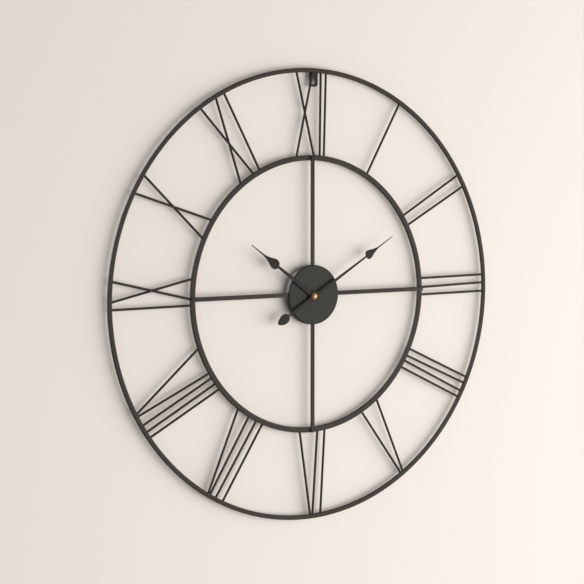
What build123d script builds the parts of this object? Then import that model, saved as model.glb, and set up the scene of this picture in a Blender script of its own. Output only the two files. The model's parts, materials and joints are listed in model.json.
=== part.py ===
from build123d import *
import math
import os

# A wall clock with an open metal dial: two rings, twelve roman numerals made of straight rods, four
# spokes, a shallow centre cup, two spade hands and a quartz movement behind the cup.
# Millimetres. The dial faces -Y, +Z is up, and the wall is the plane y = 0 behind the clock. The origin
# is where the axis of the hands meets the wall. Heights h are measured from the wall towards the viewer.

# ---- dial
DIAL_RADIUS = 381.0            # 30 inch clock
OUTER_RING_WIDTH = 7.2
INNER_RING_RADIUS = 234.4      # its outer edge
INNER_RING_WIDTH = 8.8
RING_BACK = 8.0                # gap between the wall and the rings
RING_DEPTH = 5.2
RING_EDGE = 0.4
ROD_RADIUS = 2.0
SPOKE_WIDTH = 7.0
SPOKE_DEPTH = 3.0
DIAL_MIDDLE = (1.5, 3.2)        # x and z of the middle of the rings, from the axis of the hands

# Each numeral is read clockwise from its own middle: a letter, its place along the outer ring and its
# place along the inner ring, and for an X or a V how far apart its rods are at the one and at the other.
NUMERALS = {
    "one": [("I", -2.5, -1.5)],
    "two": [("I", -16, -15.5), ("I", 7.5, 4)],
    "three": [("I", -20.5, -18.5), ("I", -6, -2.5), ("I", 9.5, 10.5)],
    "four": [("I", -26, -13), ("I", -14.5, 0), ("I", 1, 10), ("I", 13, 23)],
    "five": [("V", -5, -5, 5.4, 37)],
    "six": [("I", -18.5, -27), ("V", 0, 5.5, 4.8, 35.5)],
    "seven": [("I", -15.5, -21.5), ("I", -0.5, -8), ("V", 14, 21, 4.2, 25)],
    "eight": [("I", -33.5, -38), ("I", -22.5, -26.5), ("I", -9.5, -14.5), ("V", 10, 17.5, 4.8, 45.5)],
    "nine": [("I", -10.5, -9.5), ("X", 17.5, 17, 32, 32)],
    "ten": [("X", -1.5, -3.5, 32.5, 32.5)],
    "eleven": [("X", -15, -12.5, 33, 28.5), ("I", 19, 15.5)],
    "twelve": [("X", -13.5, -12.5, 32, 34.5), ("I", 19, 17), ("I", 29.5, 25.5)],
}
HOUR_STEP = 30.0               # degrees of the dial from one numeral to the next

# ---- centre cup and hanger
CUP_RADIUS = 50.2
CUP_MIDDLE = (2.2, 2.0)         # x and z, from the axis of the hands
CUP_FRONT = 18.0
CUP_BACK = RING_BACK
SHEET = 1.2
CUP_EDGE = 1.6
TAB_X = 6.0                    # the tab and its keyhole are placed from the middle of the rings
TAB_WIDTH = 18.0
TAB_THICKNESS = 1.5
TAB_BOTTOM = 350.0
TAB_CORNER = 5.5
KEYHOLE_X = 5.6
KEYHOLE_Z = 357.0
KEYHOLE_RADIUS = 3.0
KEYHOLE_SLOT = 3.0             # width of the narrow part above the round hole
KEYHOLE_RISE = 5.5             # from the round hole's centre to the slot's round end

# ---- hands, at eight minutes past ten
HOUR_ANGLE = 305.9
MINUTE_ANGLE = 59.1
HAND_SHEET = 0.6
HOUR_HAND_BACK = 21.4
MINUTE_HAND_BACK = 23.0
HOUR_HUB = 9.5
MINUTE_HUB = 7.5
HOUR_LENGTH = 152.0
MINUTE_LENGTH = 190.0
HOUR_SPADE = dict(start=88.0, widest=96.0, end=122.0, width=17.0)
MINUTE_SPADE = dict(start=124.5, widest=130.0, end=154.5, width=15.6)
HOUR_WIDTHS = (8.2, 4.4, 2.6, 1.4)      # stem at the hub and at the spade, needle at the spade and tip
MINUTE_WIDTHS = (6.2, 3.1, 2.3, 1.0)
TAIL_LENGTH = 85.0
TAIL_LEAF = dict(start=60.5, widest=70.5, width=17.0)

# ---- movement
CASE_SIDE = 56.0
CASE_CORNER = 3.0
CASE_FRONT = 16.3
WALL = 1.2
FLOOR = CASE_FRONT - WALL       # inner face of the case's front wall
PARTITION_TOP = -10.4           # z of the wall between the wheels and the battery
PARTITION = 1.2
COVER = 1.2
FIT = 0.05                      # radial clearance of every running fit
PIVOT = 0.45
PIVOT_DEPTH = 0.6
BUSH_RADIUS = 3.95
BUSH_END = 20.9
BUSH_FLANGE = 6.0
GASKET_RADIUS = 12.0
WASHER_RADIUS = 8.0
WASHER_THICKNESS = 0.5
NUT_FLATS = 13.0
NUT_THICKNESS = 2.0
PIPE_RADIUS = 2.5
ARBOR_RADIUS = 1.5
ARBOR_SEAT = 1.2
ARBOR_THREAD = 1.35

MODULE = 0.3                    # tooth size: pitch diameter over number of teeth
MOTION_TEETH = dict(cannon=15, minute=45, minute_pinion=12, hour=48, knob=15)
TRAIN_TEETH = dict(rotor=6, middle=30, middle_pinion=10, seconds=60, seconds_pinion=8,
                   third=60, third_pinion=8, centre=64)
WHEEL_SHEET = 0.6
TOOTH_ROOT_SHARE = 0.54         # of the pitch that a tooth covers at its root
TOOTH_TIP_SHARE = 0.20
ADDENDUM = 0.8                  # in modules
DEDENDUM = 1.2

# directions from one axis to the next, counter-clockwise from +X as seen from the front
MINUTE_WHEEL_AT = 160.0
KNOB_AT = 110.0
THIRD_WHEEL_AT = 20.0
MIDDLE_WHEEL_AT = 95.0
ROTOR_AT = 60.0

# heights of the wheels' back faces, from the wall
HOUR_WHEEL_H = 14.1
MINUTE_WHEEL_H = 12.8
CENTRE_WHEEL_H = 11.2
BRIDGE_H = 9.4
BRIDGE_THICKNESS = 0.8
THIRD_WHEEL_H = 8.0
SECONDS_WHEEL_H = 6.0
MIDDLE_WHEEL_H = 4.6

KNOB_RADIUS = 6.0
KNOB_DISH = 6.6
KNOB_DISH_FLOOR = 3.0
KNOB_SHAFT = 1.2
BATTERY_RADIUS = 7.25
BATTERY_LENGTH = 50.5
BATTERY_NUB_RADIUS = 2.75
BATTERY_NUB = 1.2
BATTERY_Z = -19.2
BATTERY_H = 7.85
BATTERY_END = 26.4              # x of the end of the positive nub
CONTACT_SHEET = 0.3

os.makedirs("parts", exist_ok=True)


def dial_plane(h, clockwise=0.0):
    """A plane facing the viewer, h in front of the wall, its y axis turned clockwise from +Z."""
    a = math.radians(clockwise)
    return Plane(origin=(0, -h, 0), x_dir=(math.cos(a), 0, -math.sin(a)), z_dir=(0, -1, 0))


def polar(radius, degrees, centre=(0, 0)):
    a = math.radians(degrees)
    return centre[0] + radius * math.cos(a), centre[1] + radius * math.sin(a)


def disc(h, height, radius, centre=(0, 0), mode=Mode.ADD):
    """Adds or cuts a round slab from height h, in the part being built."""
    with BuildSketch(dial_plane(h)) as face:
        with Locations(centre):
            Circle(radius)
    extrude(face.sketch, amount=height, mode=mode)


def block(h, height, x_range, z_range, mode=Mode.ADD):
    """Adds or cuts a rectangular slab from height h, in the part being built."""
    width, depth = x_range[1] - x_range[0], z_range[1] - z_range[0]
    with BuildSketch(dial_plane(h)) as face:
        with Locations(((x_range[0] + x_range[1]) / 2, (z_range[0] + z_range[1]) / 2)):
            Rectangle(width, depth)
    extrude(face.sketch, amount=height, mode=mode)


def pitch_radius(teeth, module=MODULE):
    return teeth * module / 2


def teeth_slab(h, height, teeth, centre=(0, 0), module=MODULE, phase=0.0):
    """Adds a toothed slab: phase is the direction of one tooth's middle."""
    pitch = 360 / teeth
    radius = pitch_radius(teeth, module)
    root, tip = radius - DEDENDUM * module, radius + ADDENDUM * module
    flank = ((root, -TOOTH_ROOT_SHARE / 2), (tip, -TOOTH_TIP_SHARE / 2),
             (tip, TOOTH_TIP_SHARE / 2), (root, TOOTH_ROOT_SHARE / 2))
    corners = [polar(r, phase + (k + share) * pitch, centre) for k in range(teeth) for r, share in flank]
    with BuildSketch(dial_plane(h)) as face:
        with BuildLine():
            Polyline(corners, close=True)
        make_face()
    extrude(face.sketch, amount=height)


def meshing_phase(teeth, phase, direction, other_teeth):
    """The phase of a second wheel, in this direction from the first, whose gaps take the first's teeth."""
    first = (direction - phase) * teeth / 360
    return direction + 180 - (0.5 - first) * 360 / other_teeth


def write(piece, label):
    piece.label = label
    export_step(piece, f"parts/{label}.step")


def on_dial(piece):
    """Moves a piece of the dial from the axis of the hands to the middle of the rings."""
    return Pos(DIAL_MIDDLE[0], 0, DIAL_MIDDLE[1]) * piece


# ---------------------------------------------------------------- rings, numerals and spokes
def ring(radius, width):
    with BuildPart() as bar:
        disc(RING_BACK, RING_DEPTH, radius)
        disc(RING_BACK, RING_DEPTH, radius - width, mode=Mode.SUBTRACT)
        chamfer(bar.edges().filter_by(GeomType.CIRCLE), RING_EDGE)
    return bar.part


write(on_dial(ring(DIAL_RADIUS, OUTER_RING_WIDTH)), "outer_ring")
write(on_dial(ring(INNER_RING_RADIUS, INNER_RING_WIDTH)), "inner_ring")

ROD_H = RING_BACK + RING_DEPTH / 2
OUTER_FACE = DIAL_RADIUS - OUTER_RING_WIDTH
INNER_FACE = INNER_RING_RADIUS
ROD_SPARE = 6.0                 # rods are cut to the rings from bars this much longer at each end


def rod(hour, outer, inner):
    """One straight rod between the rings; outer and inner are its places along them."""
    a = math.radians(hour * HOUR_STEP)
    radial, along = Vector(math.sin(a), 0, math.cos(a)), Vector(math.cos(a), 0, -math.sin(a))
    start = radial * math.sqrt(INNER_FACE**2 - inner**2) + along * inner
    end = radial * math.sqrt(OUTER_FACE**2 - outer**2) + along * outer
    run = (end - start).normalized()
    start = start + Vector(0, -ROD_H, 0) - run * ROD_SPARE
    with BuildPart() as bar:
        with BuildSketch(Plane(origin=start, z_dir=run)):
            Circle(ROD_RADIUS)
        extrude(amount=(end - Vector(0, ROD_H, 0) - start).length + ROD_SPARE)
        with BuildSketch(dial_plane(RING_BACK)):
            Circle(OUTER_FACE)
            Circle(INNER_FACE, mode=Mode.SUBTRACT)
        extrude(amount=RING_DEPTH, mode=Mode.INTERSECT)
    return bar.part


def strokes(hour, letter, outer, inner, outer_gap=0.0, inner_gap=0.0):
    """The rods of one letter. The second rod of an X is cut in two, and its halves meet the first."""
    if letter == "I":
        return rod(hour, outer, inner).solids()
    crossed = -1 if letter == "X" else 1
    first = rod(hour, outer - outer_gap / 2, inner - crossed * inner_gap / 2)
    second = rod(hour, outer + outer_gap / 2, inner + crossed * inner_gap / 2)
    return [*first.solids(), *(second - first).solids()]


for hour, (name, letters) in enumerate(NUMERALS.items(), start=1):
    rods = [on_dial(bar) for letter in letters for bar in strokes(hour, *letter)]
    write(Compound(children=rods), f"numeral_{name}")

SPOKE_BACK = RING_BACK + RING_DEPTH
CUP_FROM_DIAL = (CUP_MIDDLE[0] - DIAL_MIDDLE[0], CUP_MIDDLE[1] - DIAL_MIDDLE[1])
for side, name in enumerate(("top", "right", "bottom", "left")):
    with BuildPart() as spoke:
        with BuildSketch(dial_plane(SPOKE_BACK, 90 * side)):
            with Locations((0, INNER_RING_RADIUS / 2)):
                Rectangle(SPOKE_WIDTH, INNER_RING_RADIUS)
            Circle(INNER_RING_RADIUS, mode=Mode.INTERSECT)
        extrude(amount=SPOKE_DEPTH)
        disc(SPOKE_BACK, SPOKE_DEPTH, CUP_RADIUS, centre=CUP_FROM_DIAL, mode=Mode.SUBTRACT)
        front_edges = spoke.faces().sort_by(Axis.Y)[0].edges().filter_by(GeomType.LINE)
        chamfer(front_edges, RING_EDGE)
    write(on_dial(spoke.part), f"spoke_{name}")

# ---------------------------------------------------------------- centre cup and hanger tab
with BuildPart() as cup:
    disc(CUP_BACK, CUP_FRONT - CUP_BACK, CUP_RADIUS, centre=CUP_MIDDLE)
    fillet(cup.faces().sort_by(Axis.Y)[0].edges(), CUP_EDGE)
    disc(CUP_BACK, CUP_FRONT - CUP_BACK - SHEET, CUP_RADIUS - SHEET, centre=CUP_MIDDLE, mode=Mode.SUBTRACT)
    disc(CUP_BACK, CUP_FRONT - CUP_BACK, BUSH_RADIUS + FIT, mode=Mode.SUBTRACT)
write(cup.part, "centre_cup")

TAB_TOP = DIAL_RADIUS - 2.0     # the tab is welded to the back of the outer ring
with BuildPart() as tab:
    with BuildSketch(dial_plane(RING_BACK - TAB_THICKNESS)) as tab_face:
        with Locations((TAB_X, (TAB_TOP + TAB_BOTTOM) / 2)):
            Rectangle(TAB_WIDTH, TAB_TOP - TAB_BOTTOM)
        fillet(tab_face.vertices().group_by(Axis.Y)[0], TAB_CORNER)
        with Locations((KEYHOLE_X, KEYHOLE_Z)):
            Circle(KEYHOLE_RADIUS, mode=Mode.SUBTRACT)
        with Locations((KEYHOLE_X, KEYHOLE_Z + KEYHOLE_RISE / 2)):
            Rectangle(KEYHOLE_SLOT, KEYHOLE_RISE, mode=Mode.SUBTRACT)
        with Locations((KEYHOLE_X, KEYHOLE_Z + KEYHOLE_RISE)):
            Circle(KEYHOLE_SLOT / 2, mode=Mode.SUBTRACT)
    extrude(amount=TAB_THICKNESS)
write(on_dial(tab.part), "hanger_tab")


# ---------------------------------------------------------------- hands
def half_outline(points):
    """A closed outline from the right-hand side of a shape that is the same on both sides."""
    return points + [(-x, y) for x, y in reversed(points) if x]


def spade(start, widest, end, width, stem, needle):
    """Adds a spade to the sketch: round shoulders at its start, straight flanks that run out to a needle."""
    half = width / 2
    with BuildLine() as outline:
        shoulder = Spline([(stem / 2, start), (half * 0.8, start + (widest - start) * 0.36), (half, widest)],
                          tangents=[(1, 0), (0, 1)])
        flank = Spline([shoulder @ 1, (half * 0.62, widest + (end - widest) * 0.42), (needle / 2, end)],
                       tangents=[(0, 1), (-half * 0.6, end - widest)])
        mirror(about=Plane.YZ)
        Line((-stem / 2, start), (stem / 2, start))
        Line((-needle / 2, end), (needle / 2, end))
    make_face(outline.edges())


def strip(near, far, near_width, far_width):
    """Adds a tapering straight strip along the hand."""
    with BuildLine() as outline:
        Polyline(half_outline([(near_width / 2, near), (far_width / 2, far)]), close=True)
    make_face(outline.edges())


def hub_and_blade(hub, shape, length, stem_near, stem_far, needle_near, needle_tip):
    """Adds a hub, a stem, a spade and a needle to the sketch."""
    Circle(hub)
    strip(0, shape["start"] + 1, stem_near, stem_far)
    spade(**shape, stem=stem_far, needle=needle_near)
    strip(shape["end"] - 0.5, length, needle_near, needle_tip)


COLLET_OUT = 4.2
MINUTE_COLLET_OUT = 6.0
with BuildPart() as hour_hand:
    with BuildSketch(dial_plane(HOUR_HAND_BACK, HOUR_ANGLE)):
        hub_and_blade(HOUR_HUB, HOUR_SPADE, HOUR_LENGTH, *HOUR_WIDTHS)
        Circle(COLLET_OUT, mode=Mode.SUBTRACT)
    extrude(amount=HAND_SHEET)
write(hour_hand.part, "hour_hand")

with BuildPart() as minute_hand:
    with BuildSketch(dial_plane(MINUTE_HAND_BACK, MINUTE_ANGLE)):
        hub_and_blade(MINUTE_HUB, MINUTE_SPADE, MINUTE_LENGTH, *MINUTE_WIDTHS)
        strip(-TAIL_LEAF["start"] - 1, 0, 3.6, MINUTE_WIDTHS[0])
        with BuildLine():
            half = TAIL_LEAF["width"] / 2
            inner_side = Spline([(1.8, -TAIL_LEAF["start"]), (half * 0.8, -TAIL_LEAF["start"] - 3),
                                 (half, -TAIL_LEAF["widest"])], tangents=[(1, 0.2), (0, -1)])
            Spline([inner_side @ 1, (half * 0.72, -TAIL_LENGTH + 6.5), (0, -TAIL_LENGTH)],
                   tangents=[(0, -1), (-1, -0.35)])
            mirror(about=Plane.YZ)
            Line((-1.8, -TAIL_LEAF["start"]), (1.8, -TAIL_LEAF["start"]))
        make_face()
        Circle(MINUTE_COLLET_OUT, mode=Mode.SUBTRACT)
    extrude(amount=HAND_SHEET)
write(minute_hand.part, "minute_hand")

COLLET_LIP = 0.3                # how far the collets stand past the hand on each side
with BuildPart() as hour_collet:
    disc(HOUR_HAND_BACK - COLLET_LIP, HAND_SHEET + 2 * COLLET_LIP, COLLET_OUT)
    disc(HOUR_HAND_BACK - COLLET_LIP, HAND_SHEET + 2 * COLLET_LIP, PIPE_RADIUS, mode=Mode.SUBTRACT)
write(hour_collet.part, "hour_collet")

CAP_BACK = MINUTE_HAND_BACK + HAND_SHEET + COLLET_LIP
with BuildPart() as minute_collet:
    disc(MINUTE_HAND_BACK - COLLET_LIP, CAP_BACK - MINUTE_HAND_BACK + COLLET_LIP, MINUTE_COLLET_OUT)
    disc(MINUTE_HAND_BACK - COLLET_LIP, CAP_BACK, ARBOR_THREAD, mode=Mode.SUBTRACT)
write(minute_collet.part, "minute_collet")

CAP_FLATS = 6.0
CAP_HEIGHT = 1.8
with BuildPart() as minute_nut:
    with BuildSketch(dial_plane(CAP_BACK)):
        RegularPolygon(CAP_FLATS / 2, 6, major_radius=False)
        Circle(ARBOR_THREAD, mode=Mode.SUBTRACT)
    extrude(amount=CAP_HEIGHT)
write(minute_nut.part, "minute_nut")

# ---------------------------------------------------------------- where the wheels stand
MINUTE_WHEEL_D = pitch_radius(MOTION_TEETH["cannon"]) + pitch_radius(MOTION_TEETH["minute"])
KNOB_D = pitch_radius(MOTION_TEETH["minute"]) + pitch_radius(MOTION_TEETH["knob"])
THIRD_D = pitch_radius(TRAIN_TEETH["seconds_pinion"]) + pitch_radius(TRAIN_TEETH["third"])
CENTRE_MODULE = 2 * THIRD_D / (TRAIN_TEETH["third_pinion"] + TRAIN_TEETH["centre"])
MIDDLE_D = pitch_radius(TRAIN_TEETH["middle_pinion"]) + pitch_radius(TRAIN_TEETH["seconds"])
ROTOR_D = pitch_radius(TRAIN_TEETH["rotor"]) + pitch_radius(TRAIN_TEETH["middle"])
minute_axis = polar(MINUTE_WHEEL_D, MINUTE_WHEEL_AT)
knob_axis = polar(KNOB_D, KNOB_AT, minute_axis)
third_axis = polar(THIRD_D, THIRD_WHEEL_AT)
middle_axis = polar(MIDDLE_D, MIDDLE_WHEEL_AT)
rotor_axis = polar(ROTOR_D, ROTOR_AT, middle_axis)
for name, place in (("minute wheel", minute_axis), ("setting knob", knob_axis), ("third wheel", third_axis),
                    ("middle wheel", middle_axis), ("rotor", rotor_axis)):
    print(f"{name} axis x {place[0]:.4f} z {place[1]:.4f}")

# ---------------------------------------------------------------- case, cover, bridge and bush
HALF = CASE_SIDE / 2
INSIDE = HALF - WALL
COVER_EDGE = PARTITION_TOP - PARTITION / 2
STUD_RADIUS = 0.75
STUD_END = 12.4
pivot_axes = (third_axis, middle_axis, rotor_axis, (0, 0))

with BuildPart() as movement_case:
    with BuildSketch(dial_plane(0)):
        RectangleRounded(CASE_SIDE, CASE_SIDE, CASE_CORNER)
    extrude(amount=CASE_FRONT)
    block(0, FLOOR, (-INSIDE, INSIDE), (PARTITION_TOP, INSIDE), Mode.SUBTRACT)
    block(0, FLOOR, (-INSIDE, INSIDE), (-INSIDE, PARTITION_TOP - PARTITION), Mode.SUBTRACT)
    block(0, COVER, (-HALF, HALF), (COVER_EDGE, HALF), Mode.SUBTRACT)
    disc(FLOOR, WALL, BUSH_RADIUS, mode=Mode.SUBTRACT)
    disc(FLOOR, PIVOT_DEPTH, PIVOT + FIT, third_axis, Mode.SUBTRACT)
    disc(FLOOR, PIVOT_DEPTH, KNOB_SHAFT + FIT, knob_axis, Mode.SUBTRACT)
    disc(STUD_END, FLOOR - STUD_END, STUD_RADIUS, minute_axis)
write(movement_case.part, "movement_case")

with BuildPart() as rear_cover:
    with BuildSketch(dial_plane(0)):
        RectangleRounded(CASE_SIDE, CASE_SIDE, CASE_CORNER)
        with Locations((0, (COVER_EDGE - HALF) / 2)):
            Rectangle(CASE_SIDE, HALF + COVER_EDGE, mode=Mode.SUBTRACT)
    extrude(amount=COVER)
    disc(0, KNOB_DISH_FLOOR + WALL, KNOB_DISH + WALL, knob_axis)
    disc(0, KNOB_DISH_FLOOR, KNOB_DISH, knob_axis, Mode.SUBTRACT)
    disc(0, FLOOR, KNOB_SHAFT + FIT, knob_axis, Mode.SUBTRACT)
    for place in pivot_axes:
        disc(COVER - PIVOT_DEPTH - FIT, PIVOT_DEPTH + FIT, PIVOT + FIT, place, Mode.SUBTRACT)
write(rear_cover.part, "rear_cover")

BRIDGE_X = 16.0
BRIDGE_Z = (-9.6, 18.4)
BRIDGE_TOP = BRIDGE_H + BRIDGE_THICKNESS
POST_RADIUS = 1.3
POSTS = ((-13, -8), (13, -8), (5.5, 13))
with BuildPart() as train_bridge:
    block(BRIDGE_H, BRIDGE_THICKNESS, (-BRIDGE_X, BRIDGE_X), BRIDGE_Z)
    for place in POSTS:
        disc(BRIDGE_TOP, FLOOR - BRIDGE_TOP, POST_RADIUS, place)
    disc(BRIDGE_H, BRIDGE_THICKNESS, ARBOR_SEAT + FIT, mode=Mode.SUBTRACT)
    disc(BRIDGE_H, BRIDGE_THICKNESS, 4 * PIVOT, third_axis, Mode.SUBTRACT)
    disc(BRIDGE_H, BRIDGE_THICKNESS, KNOB_SHAFT + 3 * FIT, knob_axis, Mode.SUBTRACT)
    for place in (middle_axis, rotor_axis):
        disc(BRIDGE_H, BRIDGE_THICKNESS, PIVOT + FIT, place, Mode.SUBTRACT)
write(train_bridge.part, "train_bridge")

GASKET_BACK = CASE_FRONT
GASKET = CUP_FRONT - SHEET - CASE_FRONT
with BuildPart() as threaded_bush:
    disc(FLOOR, BUSH_END - FLOOR, BUSH_RADIUS)
    disc(GASKET_BACK, GASKET, BUSH_FLANGE)
    disc(FLOOR, BUSH_END - FLOOR, PIPE_RADIUS + FIT, mode=Mode.SUBTRACT)
write(threaded_bush.part, "threaded_bush")

with BuildPart() as gasket:
    disc(GASKET_BACK, GASKET, GASKET_RADIUS)
    disc(GASKET_BACK, GASKET, BUSH_FLANGE, mode=Mode.SUBTRACT)
write(gasket.part, "rubber_gasket")

with BuildPart() as washer:
    disc(CUP_FRONT, WASHER_THICKNESS, WASHER_RADIUS)
    disc(CUP_FRONT, WASHER_THICKNESS, BUSH_RADIUS + FIT, mode=Mode.SUBTRACT)
write(washer.part, "dial_washer")

NUT_BACK = CUP_FRONT + WASHER_THICKNESS
with BuildPart() as hex_nut:
    with BuildSketch(dial_plane(NUT_BACK)):
        RegularPolygon(NUT_FLATS / 2, 6, major_radius=False)
        Circle(BUSH_RADIUS, mode=Mode.SUBTRACT)
    extrude(amount=NUT_THICKNESS)
write(hex_nut.part, "hex_nut")

# ---------------------------------------------------------------- hands' own wheels
minute_phase = meshing_phase(MOTION_TEETH["cannon"], 0, MINUTE_WHEEL_AT, MOTION_TEETH["minute"])
hour_phase = meshing_phase(MOTION_TEETH["minute_pinion"], 0, MINUTE_WHEEL_AT + 180, MOTION_TEETH["hour"])
knob_phase = meshing_phase(MOTION_TEETH["minute"], minute_phase, KNOB_AT, MOTION_TEETH["knob"])
CANNON_H = MINUTE_WHEEL_H - 0.5
CANNON = HOUR_WHEEL_H - 0.2 - CANNON_H
ARBOR_BACK = BRIDGE_H + 0.2
PIPE_END = 22.3

with BuildPart() as minute_arbor:
    teeth_slab(CANNON_H, CANNON, MOTION_TEETH["cannon"])
    disc(ARBOR_BACK, CANNON_H - ARBOR_BACK, ARBOR_SEAT)
    disc(CANNON_H, PIPE_END + 0.4 - CANNON_H, ARBOR_RADIUS)
    disc(CANNON_H, CAP_BACK + CAP_HEIGHT - CANNON_H, ARBOR_THREAD)
    disc(ARBOR_BACK, CANNON_H - ARBOR_BACK + 0.6, PIVOT + FIT, mode=Mode.SUBTRACT)
write(minute_arbor.part, "minute_arbor")

CLUTCH_RADIUS = 2.2
with BuildPart() as clutch_spring:
    disc(CENTRE_WHEEL_H + WHEEL_SHEET, CANNON_H - CENTRE_WHEEL_H - WHEEL_SHEET, CLUTCH_RADIUS)
    disc(CENTRE_WHEEL_H, CANNON, ARBOR_SEAT, mode=Mode.SUBTRACT)
write(clutch_spring.part, "clutch_spring")

with BuildPart() as minute_wheel:
    teeth_slab(MINUTE_WHEEL_H, WHEEL_SHEET, MOTION_TEETH["minute"], minute_axis, phase=minute_phase)
    teeth_slab(MINUTE_WHEEL_H, HOUR_WHEEL_H + WHEEL_SHEET - MINUTE_WHEEL_H + 0.1,
               MOTION_TEETH["minute_pinion"], minute_axis)
    disc(0, CASE_FRONT, STUD_RADIUS + FIT, minute_axis, Mode.SUBTRACT)
write(minute_wheel.part, "minute_wheel")

with BuildPart() as hour_wheel:
    teeth_slab(HOUR_WHEEL_H, WHEEL_SHEET, MOTION_TEETH["hour"], phase=hour_phase)
    disc(HOUR_WHEEL_H, PIPE_END - HOUR_WHEEL_H, PIPE_RADIUS)
    disc(HOUR_WHEEL_H, PIPE_END - HOUR_WHEEL_H, ARBOR_RADIUS + FIT, mode=Mode.SUBTRACT)
write(hour_wheel.part, "hour_wheel")

KNOB_BACK = 0.6
KNOB_THICKNESS = 2.0
KNOB_RIBS = 24
with BuildPart() as setting_knob:
    disc(KNOB_BACK, KNOB_THICKNESS, KNOB_RADIUS, knob_axis)
    with BuildSketch(dial_plane(KNOB_BACK)):
        with Locations(knob_axis):
            with PolarLocations(KNOB_RADIUS, KNOB_RIBS):
                Circle(0.35)
    extrude(amount=KNOB_THICKNESS, mode=Mode.SUBTRACT)
    disc(KNOB_BACK, FLOOR + PIVOT_DEPTH - FIT - KNOB_BACK, KNOB_SHAFT, knob_axis)
    teeth_slab(MINUTE_WHEEL_H - 0.4, WHEEL_SHEET + 0.8, MOTION_TEETH["knob"], knob_axis, phase=knob_phase)
write(setting_knob.part, "setting_knob")

# ---------------------------------------------------------------- going train
third_phase = meshing_phase(TRAIN_TEETH["seconds_pinion"], 0, THIRD_WHEEL_AT, TRAIN_TEETH["third"])
centre_phase = meshing_phase(TRAIN_TEETH["third_pinion"], 0, THIRD_WHEEL_AT + 180, TRAIN_TEETH["centre"])
seconds_phase = meshing_phase(TRAIN_TEETH["middle_pinion"], 0, MIDDLE_WHEEL_AT + 180, TRAIN_TEETH["seconds"])
middle_phase = meshing_phase(TRAIN_TEETH["rotor"], 0, ROTOR_AT + 180, TRAIN_TEETH["middle"])
PIVOT_BACK = COVER - PIVOT_DEPTH
BRIDGE_PIVOT = BRIDGE_TOP - 0.2

with BuildPart() as centre_wheel:
    teeth_slab(CENTRE_WHEEL_H, WHEEL_SHEET, TRAIN_TEETH["centre"], module=CENTRE_MODULE, phase=centre_phase)
    disc(CENTRE_WHEEL_H, WHEEL_SHEET, ARBOR_SEAT + FIT, mode=Mode.SUBTRACT)
write(centre_wheel.part, "centre_wheel")

with BuildPart() as third_wheel:
    teeth_slab(THIRD_WHEEL_H, WHEEL_SHEET, TRAIN_TEETH["third"], third_axis, phase=third_phase)
    teeth_slab(THIRD_WHEEL_H, CENTRE_WHEEL_H + WHEEL_SHEET + 0.4 - THIRD_WHEEL_H, TRAIN_TEETH["third_pinion"],
               third_axis, CENTRE_MODULE)
    disc(PIVOT_BACK, FLOOR + PIVOT_DEPTH - FIT - PIVOT_BACK, PIVOT, third_axis)
write(third_wheel.part, "third_wheel")

with BuildPart() as seconds_wheel:
    teeth_slab(SECONDS_WHEEL_H, WHEEL_SHEET, TRAIN_TEETH["seconds"], phase=seconds_phase)
    teeth_slab(SECONDS_WHEEL_H, THIRD_WHEEL_H + WHEEL_SHEET + 0.5 - SECONDS_WHEEL_H,
               TRAIN_TEETH["seconds_pinion"])
    disc(PIVOT_BACK, CANNON_H + 0.5 - PIVOT_BACK, PIVOT)
write(seconds_wheel.part, "seconds_wheel")

with BuildPart() as middle_wheel:
    teeth_slab(MIDDLE_WHEEL_H, WHEEL_SHEET, TRAIN_TEETH["middle"], middle_axis, phase=middle_phase)
    teeth_slab(MIDDLE_WHEEL_H, SECONDS_WHEEL_H + WHEEL_SHEET + 0.4 - MIDDLE_WHEEL_H,
               TRAIN_TEETH["middle_pinion"], middle_axis)
    disc(PIVOT_BACK, BRIDGE_PIVOT - PIVOT_BACK, PIVOT, middle_axis)
write(middle_wheel.part, "middle_wheel")

MAGNET_RADIUS = 2.7
MAGNET_H = 6.2
MAGNET = 2.6
with BuildPart() as rotor_pinion:
    teeth_slab(MIDDLE_WHEEL_H - 0.4, MAGNET_H - MIDDLE_WHEEL_H + 0.4, TRAIN_TEETH["rotor"], rotor_axis)
    disc(PIVOT_BACK, BRIDGE_PIVOT - PIVOT_BACK, PIVOT, rotor_axis)
write(rotor_pinion.part, "rotor_pinion")

with BuildPart() as rotor_magnet:
    disc(MAGNET_H, MAGNET, MAGNET_RADIUS, rotor_axis)
    disc(MAGNET_H, MAGNET, PIVOT, rotor_axis, Mode.SUBTRACT)
write(rotor_magnet.part, "rotor_magnet")

# ---------------------------------------------------------------- motor and circuit
STATOR_H = 7.1
STATOR = 0.8
STATOR_X = (-13.0, 14.0)
STATOR_HOLE = 3.1
STATOR_EYE = 3.94
YOKE_Z = (13.5, 18.8)
ARM_WIDTH = 3.0
ARM_TOP = 24.5
COIL_Z = 22.3
COIL_RADIUS = 2.9
BOBBIN_FLANGE = 3.0
COIL_X = (-9.5, 10.5)
CORE_HEIGHT = 2.0

with BuildPart() as stator:
    block(STATOR_H, STATOR, STATOR_X, YOKE_Z)
    block(STATOR_H, STATOR, (STATOR_X[0], STATOR_X[0] + ARM_WIDTH), (YOKE_Z[0], ARM_TOP))
    block(STATOR_H, STATOR, (STATOR_X[1] - ARM_WIDTH, STATOR_X[1]), (YOKE_Z[0], ARM_TOP))
    disc(STATOR_H, STATOR, STATOR_EYE, rotor_axis)
    disc(STATOR_H, STATOR, STATOR_HOLE, rotor_axis, Mode.SUBTRACT)
write(stator.part, "stator")

CORE_H = STATOR_H - STATOR
with BuildPart() as coil_core:
    block(CORE_H, STATOR, STATOR_X, (COIL_Z - CORE_HEIGHT / 2, COIL_Z + CORE_HEIGHT / 2))
write(coil_core.part, "coil_core")

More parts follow.
